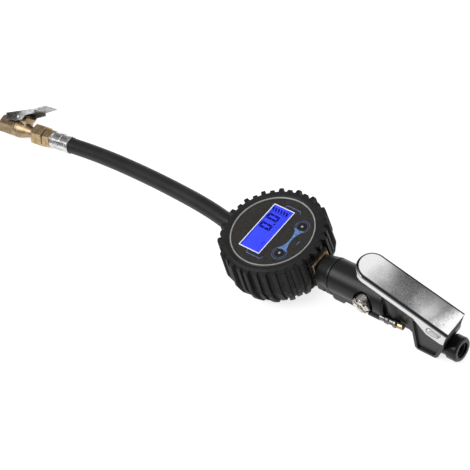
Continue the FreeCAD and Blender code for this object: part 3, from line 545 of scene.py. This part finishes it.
def makeAxis():
    # places along and around an axis
    tree, given, out = newGroup("axisPlace", {"Centre": ("Vector", (0, 0, 0)),
                                              "Turn": ("Vector", (0, 0, 0))},
                                {"Along": "Float", "Angle": "Float"})
    place = addNode(tree, "TexCoord").outputs["Object"]
    line = {"Vector": place, "Location": given["Centre"], "Rotation": given["Turn"]}
    local = addNode(tree, "Mapping", line, vector_type="TEXTURE")
    split = addNode(tree, "SeparateXYZ", {"Vector": local.outputs["Vector"]}).outputs
    tree.links.new(split["X"], out["Along"])
    tree.links.new(calc(tree, "ARCTAN2", split["Z"], split["Y"]), out["Angle"])
    return tree


surfaceGrain = makeGrain()
edgeWearAndSheen = makeEdges()
toolStreaks = makeStreaks()
axisPlace = makeAxis()


# Material helpers
def startMaterial(name):
    material = bpy.data.materials.new(name)
    material.use_nodes = True
    tree = material.node_tree
    return material, tree, tree.nodes["Principled BSDF"].inputs


def placeGroup(tree, group, **values):
    node = tree.nodes.new("ShaderNodeGroup")
    node.node_tree = group
    for name, value in values.items():
        node.inputs[name.replace("_", " ")].default_value = value
    return node.outputs


noiseSpan = (0.3, 0.7)          # where most of a noise's values lie


def roughen(tree, shader, height, low, high):
    tree.links.new(spread(tree, height, *noiseSpan, low, high, "LINEAR"), shader["Roughness"])


def addBump(tree, shader, height, strength, distance, normal=None):
    bump = addNode(tree, "Bump", {"Strength": strength, "Distance": distance, "Height": height})
    if normal:
        tree.links.new(normal, bump.inputs["Normal"])
    tree.links.new(bump.outputs["Normal"], shader["Normal"])


def finish(name, spec):
    # tone from cloud or streaks, lighter or darker edges that are partly wear and partly a painted
    # highlight, grain in roughness and bump
    material, tree, shader = startMaterial(name)
    grain = placeGroup(tree, surfaceGrain, Scale=spec.get("grain", 900), Cloud_Scale=spec.get("cloud", 60))
    height, tone = grain["Height"], grain["Cloud"]
    if "streak" in spec:
        turn = [math.radians(v) for v in spec["turn"]]
        height = placeGroup(tree, toolStreaks, Stretch=spec["streak"], Turn=turn)["Streak"]
        tone = total(tree, product(tree, tone, 0.5), product(tree, spread(tree, height, *noiseSpan), 0.5))
    colour = blendColour(tree, tone, spec["dark"], spec["light"])
    normal = None
    # the edge colour is partly wear and partly a painted highlight, most of all on the rubber and black
    # plastics
    if "edge" in spec:
        edges = placeGroup(tree, edgeWearAndSheen, Radius=spec["edgeRadius"])
        colour = blendColour(tree, edges["Edge"], colour, spec["edge"])
        normal = edges["Normal"]
    tree.links.new(colour, shader["Base Color"])
    roughen(tree, shader, height, *spec["rough"])
    addBump(tree, shader, height, spec.get("bump", 0.2), spec.get("depth", 0.00005), normal)
    shader["Metallic"].default_value = spec.get("metal", 0)
    shader["Specular IOR Level"].default_value = spec.get("specular", 0.5)
    return material


# Plain finishes: colours as the shader takes them, scales per metre, depths and radii in metres
finishes = {
    "bootRubber": {"dark": (0.0040, 0.0040, 0.0043), "light": (0.0080, 0.0078, 0.0078),
                   "rough": (0.50, 0.68), "edge": (0.042, 0.042, 0.041), "edgeRadius": 0.0007,
                   "grain": 1500, "cloud": 130, "bump": 0.4, "depth": 0.00008, "specular": 0.30},
    "satinPlastic": {"dark": (0.0050, 0.0050, 0.0052), "light": (0.0085, 0.0085, 0.0086),
                     "rough": (0.30, 0.44), "edge": (0.030, 0.030, 0.030), "edgeRadius": 0.0005,
                     "grain": 2600, "cloud": 70, "bump": 0.25, "specular": 0.30},
    "blackAnodised": {"dark": (0.008, 0.008, 0.008), "light": (0.014, 0.014, 0.014), "rough": (0.25, 0.38),
                      "edge": (0.05, 0.05, 0.05), "edgeRadius": 0.0004, "grain": 1800, "bump": 0.1,
                      "metal": 0.4},
    "hoseRubber": {"dark": (0.0075, 0.0075, 0.0080), "light": (0.0125, 0.0125, 0.0130),
                   "rough": (0.40, 0.52), "grain": 1400, "specular": 0.30},
    "facePrint": {"dark": (0.0125, 0.0115, 0.0105), "light": (0.0290, 0.0270, 0.0240),
                  "rough": (0.48, 0.62), "grain": 2400, "cloud": 1100, "bump": 0.3,
                  "depth": 0.00003, "specular": 0.25},
    "keyCap": {"dark": (0.0060, 0.0060, 0.0075), "light": (0.0110, 0.0110, 0.0130), "rough": (0.30, 0.40),
               "edge": (0.03, 0.035, 0.05), "edgeRadius": 0.0004, "grain": 2000, "bump": 0.1,
               "specular": 0.30},
    "satinSilver": {"dark": (0.70, 0.685, 0.67), "light": (0.88, 0.865, 0.85), "rough": (0.26, 0.38),
                    "grain": 1800, "cloud": 120, "bump": 0.1, "metal": 1},
    "brass": {"dark": (0.21, 0.150, 0.085), "light": (0.50, 0.375, 0.235), "rough": (0.32, 0.46),
              "edge": (0.74, 0.60, 0.42), "edgeRadius": 0.0004, "cloud": 260, "streak": (2600, 240, 240),
              "turn": (0, 0, chuckYaw), "depth": 0.00004, "metal": 1},
    "brightBrass": {"dark": (0.33, 0.235, 0.120), "light": (0.64, 0.48, 0.290), "rough": (0.24, 0.36),
                    "edge": (0.85, 0.70, 0.46), "edgeRadius": 0.0004, "cloud": 260,
                    "streak": (1800, 160, 160), "turn": (0, 0, chuckYaw), "bump": 0.12, "metal": 1},
    "nickel": {"dark": (0.46, 0.43, 0.40), "light": (0.78, 0.75, 0.71), "rough": (0.18, 0.32),
               "edge": (0.90, 0.88, 0.85), "edgeRadius": 0.0004, "cloud": 250, "grain": 1500, "bump": 0.12,
               "metal": 1},
    "dullNickel": {"dark": (0.10, 0.096, 0.092), "light": (0.26, 0.25, 0.24), "rough": (0.24, 0.38),
                   "edge": (0.70, 0.68, 0.66), "edgeRadius": 0.0004, "cloud": 250, "grain": 1500,
                   "bump": 0.12, "metal": 1},
    "plainSteel": {"dark": (0.36, 0.36, 0.37), "light": (0.58, 0.58, 0.59), "rough": (0.25, 0.4),
                   "grain": 1500, "bump": 0.1, "metal": 1},
    "sealRubber": {"dark": (0.010, 0.010, 0.010), "light": (0.018, 0.018, 0.018), "rough": (0.5, 0.65),
                   "grain": 1500},
    "batteryCan": {"dark": (0.16, 0.16, 0.18), "light": (0.24, 0.24, 0.26), "rough": (0.3, 0.4),
                   "grain": 1200, "bump": 0.05, "metal": 0.6},
    "boardGreen": {"dark": (0.010, 0.120, 0.035), "light": (0.015, 0.170, 0.050), "rough": (0.25, 0.35),
                   "grain": 1200, "bump": 0.05},
    "inkDark": {"dark": (0.0010, 0.0012, 0.120), "light": (0.0020, 0.0025, 0.190), "rough": (0.4, 0.5),
                "specular": 0.1},
    "inkPale": {"dark": (0.82, 0.84, 0.95), "light": (0.90, 0.92, 1.00), "rough": (0.4, 0.5)},
    "inkBlue": {"dark": (0.065, 0.135, 0.330), "light": (0.115, 0.210, 0.460), "rough": (0.4, 0.5),
                "cloud": 420},
    "inkLine": {"dark": (0.045, 0.075, 0.150), "light": (0.100, 0.135, 0.260), "rough": (0.4, 0.5),
                "cloud": 420},
    "inkBracket": {"dark": (0.085, 0.105, 0.240), "light": (0.165, 0.190, 0.400), "rough": (0.4, 0.5),
                   "cloud": 420},
    "inkDot": {"dark": (0.26, 0.25, 0.23), "light": (0.42, 0.41, 0.38), "rough": (0.4, 0.5), "cloud": 900},
}
materials = {name: finish(name, spec) for name, spec in finishes.items()}

# Chromed lever: painted reflections, light towards both ends and dark between, with a painted dark
# reflection along the bend.
# The near side is -y and the far side +y.
lever = {
    "halfWidth": 0.0120,
    # painted reflection zones from front to back: place along the lever, and tone from 0, black, to 1,
    # white
    "paintedReflectionZones": ((0.0, 0.78), (0.16, 0.72), (0.28, 0.50), (0.38, 0.27), (0.46, 0.14), (0.55, 0.13),
              (0.63, 0.32), (0.72, 0.54), (0.80, 0.50), (0.84, 0.34), (0.88, 0.52), (0.94, 0.86)),
    "drift": 0.006,                     # how far cloud, speckle and side move the zones
    "speckle": 0.0025,
    "slant": -0.05,
    "farShade": 0.65,
    "ripple": (0.34, 0.48, 0.60, 0.70),             # where along it the fine ripples start and end
    "rippleHeights": (0.50, 0.66),
    "rippleShare": 0.30,
    "paintedRippleGlint": (0.62, 0.62, 0.63),
    # painted reflections on the skirts and the far bend; "dark" is the painted shade of the far side and
    # of the bend and oval lines
    "paintedSkirtReflection": (0.70, 0.70, 0.71),
    "paintedFarBendReflection": (0.015, 0.015, 0.015),
    "dark": (0.030, 0.030, 0.031),
    "bendAt": (0.0023, 0.0013),         # in from the near side and from the far side
    "bendFade": (0.001275, 0.000595),   # from the bend's middle, gone and full
    "rimFade": (-0.0001, -0.0005),      # outside the bend
    "skirtFade": (0.0009, 0.0003),      # in from the outline
    "dimple": (0.1440, 0.0308, 0.0054, 0.0036),     # x, z and half sizes of the pressed oval
    "dimpleShadeLine": (0.12, 0.03, 0.8),    # in half sizes, gone and full, and its strength
    "dimpleMatt": (1.2, 0.9, 0.75),     # the same for the duller metal inside it
    "upright": (0.35, 0.15),            # up part of the normal, on the top and on a skirt
    "rough": (0.10, 0.22),
}


def paintedReflectionTone(tree, s, split, grain, lo, hi):
    # painted reflection zones along the lever with mottled borders, darker at the far side as painted
    # shade, and fine ripples over the dark as painted light glints
    half = s["halfWidth"]
    broad = placeGroup(tree, surfaceGrain, Cloud_Scale=60)
    drift = product(tree, calc(tree, "SUBTRACT", broad["Cloud"], 0.5), s["drift"])
    speckle = product(tree, calc(tree, "SUBTRACT", grain["Cloud"], 0.5), s["speckle"])
    x = total(tree, split["X"], drift, speckle, product(tree, split["Y"], s["slant"]))
    ramp = addNode(tree, "ValToRGB", {"Fac": spread(tree, x, lo.x, hi.x, shape="LINEAR")})
    points = ramp.color_ramp.elements
    points.remove(points[1])
    for k, (at, tone) in enumerate(s["paintedReflectionZones"]):
        point = points.new(at) if k else points[0]
        point.position = at
        point.color = (tone, tone, tone * 1.01, 1)
    shade = spread(tree, split["Y"], -half * 0.5, half, 0.0, s["farShade"])
    middle = product(tree, spread(tree, split["X"], lo.x + half, lo.x + 3 * half),
                     spread(tree, split["X"], hi.x - 0.2 * half, hi.x - half))
    colour = blendColour(tree, product(tree, shade, middle), ramp.outputs["Color"], s["dark"])
    start, full, fading, end = (lo.x + k * (hi.x - lo.x) for k in s["ripple"])
    rippled = product(tree, spread(tree, x, start, full), spread(tree, x, end, fading),
                      spread(tree, grain["Height"], *s["rippleHeights"], 0.0, s["rippleShare"]))
    return blendColour(tree, rippled, colour, s["paintedRippleGlint"])


def ovalReach(tree, s, split):
    # 0 in the middle of the skirt's pressed oval and 1 on its line
    x, z, wide, tall = s["dimple"]
    u = calc(tree, "DIVIDE", calc(tree, "SUBTRACT", split["X"], x), wide)
    v = calc(tree, "DIVIDE", calc(tree, "SUBTRACT", split["Z"], z), tall)
    return hypotenuse(tree, u, v)


def chromeLever(s):
    material, tree, shader = startMaterial("chromeLever")
    lo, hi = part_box("trigger_lever")
    half = s["halfWidth"]
    place = addNode(tree, "TexCoord").outputs
    split = addNode(tree, "SeparateXYZ", {"Vector": place["Object"]}).outputs
    facing = addNode(tree, "SeparateXYZ", {"Vector": place["Normal"]}).outputs["Z"]
    grain = placeGroup(tree, surfaceGrain, Scale=1700, Cloud_Scale=850)
    edges = placeGroup(tree, edgeWearAndSheen, Radius=0.0004)
    paintedReflections = paintedReflectionTone(tree, s, split, grain, lo, hi)
    # distance in from the lever's outline, seen from above
    back = calc(tree, "MINIMUM", calc(tree, "SUBTRACT", split["X"], lo.x + half), 0.0)
    inside = calc(tree, "SUBTRACT", half, hypotenuse(tree, back, split["Y"]))
    outside = calc(tree, "SUBTRACT", inside, spread(tree, split["Y"], -half * 0.2, half, *s["bendAt"]))
    bendReflectionMask = spread(tree, calc(tree, "ABSOLUTE", outside), *s["bendFade"])
    rimReflectionMask = spread(tree, outside, *s["rimFade"])
    # the skirt's pressed oval shows as a thin line of painted shade
    onSkirt = spread(tree, inside, *s["skirtFade"])
    oval = ovalReach(tree, s, split)
    gone, full, strength = s["dimpleShadeLine"]
    fromLine = calc(tree, "ABSOLUTE", calc(tree, "SUBTRACT", oval, 1.0))
    ovalShadeRing = spread(tree, fromLine, gone, full, 0.0, strength)
    # the bend's painted dark reflection and the oval's painted shade line
    line = calc(tree, "MAXIMUM", bendReflectionMask, product(tree, ovalShadeRing, onSkirt))
    # the far bend is a painted dark reflection, and both skirts are a painted bright reflection
    upright = spread(tree, facing, *s["upright"])
    farBendReflectionMask = product(tree, spread(tree, split["Y"], half * 0.2, half * 0.8), oneMinus(tree, upright))
    farSkirt = product(tree, upright, spread(tree, split["Y"], 0.0, half * 0.8))
    colour = blendColour(tree, rimReflectionMask, paintedReflections, blendColour(tree, farBendReflectionMask, s["paintedSkirtReflection"], s["paintedFarBendReflection"]))
    colour = blendColour(tree, product(tree, line, oneMinus(tree, farSkirt)), colour, s["dark"])
    tree.links.new(colour, shader["Base Color"])
    roughen(tree, shader, grain["Height"], *s["rough"])
    addBump(tree, shader, grain["Height"], 0.12, 0.00003, edges["Normal"])
    gone, full, share = s["dimpleMatt"]
    matt = product(tree, onSkirt, spread(tree, oval, gone, full, 0.0, share))
    tree.links.new(oneMinus(tree, matt), shader["Metallic"])
    return material


materials["chromeLever"] = chromeLever(lever)

# Ferrule: drawn steel with eight crimp flats round its middle
ferrule = {
    "start": hose["route"][-1],
    "yaw": 180 + chuckYaw,
    "crimps": 8,
    "crimpFrom": 0.55,              # of a wave's height, where a crimp begins
    "band": (0.0035, 0.0150),       # along the ferrule
    "bandFade": 0.001,
    "tone": 0.47,                   # between dark and light, and what cloud and crimps add and take
    "cloud": 0.28,
    "crimpShade": 0.55,
    "dark": (0.24, 0.24, 0.25),
    "light": (0.86, 0.86, 0.87),
    "rough": (0.16, 0.30),
}


def crimpedSteel(s):
    material, tree, shader = startMaterial("crimpedSteel")
    at = placeGroup(tree, axisPlace, Centre=s["start"], Turn=(0, 0, math.radians(s["yaw"])))
    grain = placeGroup(tree, surfaceGrain, Scale=1300, Cloud_Scale=150)
    wave = calc(tree, "ABSOLUTE", calc(tree, "SINE", product(tree, at["Angle"], s["crimps"] / 2)))
    low, high = s["band"]
    inBand = product(tree, spread(tree, at["Along"], low, low + s["bandFade"]),
                     spread(tree, at["Along"], high, high - s["bandFade"]))
    press = product(tree, spread(tree, wave, s["crimpFrom"], 0.0), inBand)
    clouded = total(tree, product(tree, grain["Cloud"], s["cloud"]), s["tone"])
    tone = calc(tree, "SUBTRACT", clouded, product(tree, press, s["crimpShade"]), clamp=True)
    tree.links.new(blendColour(tree, tone, s["dark"], s["light"]), shader["Base Color"])
    roughen(tree, shader, grain["Height"], *s["rough"])
    addBump(tree, shader, product(tree, press, -1.0), 0.3, 0.0003)
    shader["Metallic"].default_value = 1
    return material


materials["crimpedSteel"] = crimpedSteel(ferrule)

# Chuck's clip: darker over the head, lighter along the tail, with worn edges
clip = {
    "middle": (-0.2745, 0.0061, 0.0220),
    "turnsBright": (-0.004, 0.007),         # along the clip, from the pin
    "head": ((0.030, 0.029, 0.027), (0.105, 0.10, 0.095)),      # dark and light
    "tail": ((0.36, 0.36, 0.36), (0.54, 0.54, 0.54)),
    "scuff": (0.60, 0.60, 0.60),
    "scuffShare": 0.08,
    "worn": (0.80, 0.80, 0.80),
    "tailMetal": 0.55,
    "rough": (0.20, 0.36),
}


def pressedZinc(s):
    material, tree, shader = startMaterial("pressedZinc")
    at = placeGroup(tree, axisPlace, Centre=s["middle"], Turn=(0, 0, math.radians(chuckYaw)))
    grain = placeGroup(tree, surfaceGrain, Scale=1200, Cloud_Scale=190)
    fine = placeGroup(tree, surfaceGrain, Cloud_Scale=650)
    edges = placeGroup(tree, edgeWearAndSheen, Radius=0.0005)
    tail = spread(tree, at["Along"], *s["turnsBright"])
    colour = blendColour(tree, tail, blendColour(tree, grain["Cloud"], *s["head"]),
                         blendColour(tree, grain["Cloud"], *s["tail"]))
    colour = blendColour(tree, product(tree, fine["Cloud"], s["scuffShare"]), colour, s["scuff"])
    tree.links.new(blendColour(tree, edges["Edge"], colour, s["worn"]), shader["Base Color"])
    roughen(tree, shader, grain["Height"], *s["rough"])
    addBump(tree, shader, grain["Height"], 0.1, 0.00003, edges["Normal"])
    tree.links.new(spread(tree, tail, 0.0, 1.0, 1.0, s["tailMetal"]), shader["Metallic"])
    return material


materials["pressedZinc"] = pressedZinc(clip)

# Display module, lit from behind
backlight = {
    "dark": (0.030, 0.045, 0.80),
    "light": (0.046, 0.078, 1.0),
    "strength": 0.95,
    "under": (0.01, 0.012, 0.16),
    "cloudShare": 0.7,
}


def litDisplay(s):
    material, tree, shader = startMaterial("litDisplay")
    shader["Base Color"].default_value = (*s["under"], 1)
    shader["Roughness"].default_value = 0.4
    shader["Specular IOR Level"].default_value = 0.1
    broad = placeGroup(tree, surfaceGrain, Cloud_Scale=55)
    fine = placeGroup(tree, surfaceGrain, Cloud_Scale=700)
    tone = total(tree, product(tree, broad["Cloud"], s["cloudShare"]),
                 product(tree, fine["Cloud"], 1 - s["cloudShare"]))
    tree.links.new(blendColour(tree, tone, s["dark"], s["light"]), shader["Emission Color"])
    shader["Emission Strength"].default_value = s["strength"]
    return material


materials["litDisplay"] = litDisplay(backlight)

# Display window
pane = {
    "index": 1.10,
    "rough": (0.0, 0.02),
}


def clearPane(s):
    material, tree, shader = startMaterial("clearPane")
    shader["Base Color"].default_value = (1, 1, 1, 1)
    shader["Transmission Weight"].default_value = 1
    shader["IOR"].default_value = s["index"]
    grain = placeGroup(tree, surfaceGrain, Cloud_Scale=90)
    tree.links.new(spread(tree, grain["Cloud"], 0, 1, *s["rough"], "LINEAR"), shader["Roughness"])
    return material


materials["clearPane"] = clearPane(pane)

# What wears what
wearing = {
    "bootRubber": ["rubber_boot"],
    "satinPlastic": ["gauge_case", "battery_door", "front_collar", "handle_body"],
    "blackAnodised": ["inlet_bushing", "inletThread"],
    "hoseRubber": ["rubberHose"],
    "facePrint": ["face_panel"],
    "keyCap": ["power_button", "unit_button"],
    "satinSilver": ["bezel_ring"],
    "brass": ["chuck_body", "chuck_depressor", "manifold_block"],
    "brightBrass": ["hose_barb", "hose_nipple", "swivel_nut", "valve_stem", "gland_pin", "bleed_button"],
    "nickel": ["gland_nut"],
    "dullNickel": ["bleed_valve_body"],
    "chromeLever": ["trigger_lever"],
    "crimpedSteel": ["hose_ferrule"],
    "pressedZinc": ["chuck_lever"],
    "plainSteel": ["battery_door_screw", "board_screws", "pressure_sensor", "lever_pivot_pin",
                   "pressedSpring", "inlet_filter", "chuck_lever_pin", "chuck_spring"],
    "sealRubber": ["valve_seat", "chuck_seal"],
    "batteryCan": ["batteries"],
    "boardGreen": ["circuit_board"],
    "litDisplay": ["lcd_module"],
    "clearPane": ["lcd_window"],
    "inkDark": ["lcdInk"],
    "inkPale": ["lcdFrame"],
    "inkBlue": ["faceBand"],
    "inkLine": ["faceRings", "faceDash"],
    "inkBracket": ["faceBrackets"],
    "inkDot": ["powerDot", "unitDot"],
}


def wear(piece, material):
    piece.data.materials.clear()
    piece.data.materials.append(material)


for name, pieces in wearing.items():
    for piece in pieces:
        wear(bpy.data.objects[piece], materials[name])
print("materials made:", len(materials))

# Floor, light and background
stage = {
    "inletRest": (0.150, -0.005),       # x and z of what the tool stands on
    "bootRest": (-0.0288, 0.0),
    "floorSize": 6.0,
    "floorTone": 0.35,
    "floorRough": 0.9,
    "floorGlow": 0.78,
    "ambient": 0.30,
    "patch": 1.15,
    "patchWay": (0.09, 0.38, 0.92),
    "patchSpread": (0.80, 0.97),
}


def makeFloor(s):
    # it glows to the camera and in mirrors, so that it is white there, and keeps the tool's shadow
    (x0, z0), (x1, z1) = s["inletRest"], s["bootRest"]
    slope = (z1 - z0) / (x1 - x0)
    half = s["floorSize"] / 2
    corners = [(x, y, z0 + (x - x0) * slope) for x, y in rectangle(-half, -half, half, half)[::-1]]
    data = bpy.data.meshes.new("floor")
    data.from_pydata(corners, [], [(0, 1, 2, 3)])
    piece = bpy.data.objects.new("floor", data)
    bpy.context.scene.collection.objects.link(piece)
    material, tree, shader = startMaterial("paleFloor")
    shader["Base Color"].default_value = (*[s["floorTone"]] * 3, 1)
    shader["Roughness"].default_value = s["floorRough"]
    shader["Specular IOR Level"].default_value = 0
    shader["Emission Color"].default_value = (1, 1, 1, 1)
    ray = addNode(tree, "LightPath").outputs
    seen = calc(tree, "MAXIMUM", ray["Is Camera Ray"], ray["Is Glossy Ray"])
    seen = calc(tree, "MAXIMUM", seen, ray["Is Transmission Ray"])
    tree.links.new(product(tree, seen, s["floorGlow"]), shader["Emission Strength"])
    wear(piece, material)


def makeWorld(s):
    # white to the camera; dimmer light on the object, with a broad soft patch high on one side
    world = bpy.data.worlds.new("studio")
    bpy.context.scene.world = world
    world.use_nodes = True
    tree = world.node_tree
    background = tree.nodes["Background"].inputs
    background["Color"].default_value = (1, 1, 1, 1)
    way = addNode(tree, "TexCoord").outputs["Generated"]
    patch = addNode(tree, "VectorMath", {0: way, 1: s["patchWay"]}, operation="DOT_PRODUCT")
    soft = spread(tree, patch.outputs["Value"], *s["patchSpread"], s["ambient"], s["patch"])
    camera = addNode(tree, "LightPath").outputs["Is Camera Ray"]
    strength = addNode(tree, "Mix", {"Factor": camera, "A": soft, "B": 1.0}, data_type="FLOAT")
    tree.links.new(strength.outputs["Result"], background["Strength"])


lamps = [
    {"name": "keyPanel", "place": (-0.35, -0.55, 0.9), "aim": (0.0, 0.0, 0.02), "size": 0.7, "power": 9,
     "mirrored": True},
    {"name": "rimPanel", "place": (0.2, 0.9, 0.6), "aim": (0.05, 0.0, 0.02), "size": 0.6, "power": 6,
     "mirrored": False},
]


def makeLamp(spec):
    data = bpy.data.lights.new(spec["name"], "AREA")
    data.shape = "SQUARE"
    data.size = spec["size"]
    data.energy = spec["power"]
    lamp = bpy.data.objects.new(spec["name"], data)
    place, aim = Vector(spec["place"]), Vector(spec["aim"])
    turn = (aim - place).to_track_quat("-Z", "Y").to_matrix().to_4x4()
    lamp.matrix_world = Matrix.Translation(place) @ turn
    lamp.visible_glossy = spec["mirrored"]
    bpy.context.scene.collection.objects.link(lamp)


makeFloor(stage)
makeWorld(stage)
for spec in lamps:
    makeLamp(spec)
bpy.context.scene.view_settings.view_transform = "Standard"
print("floor, world and lamps made")
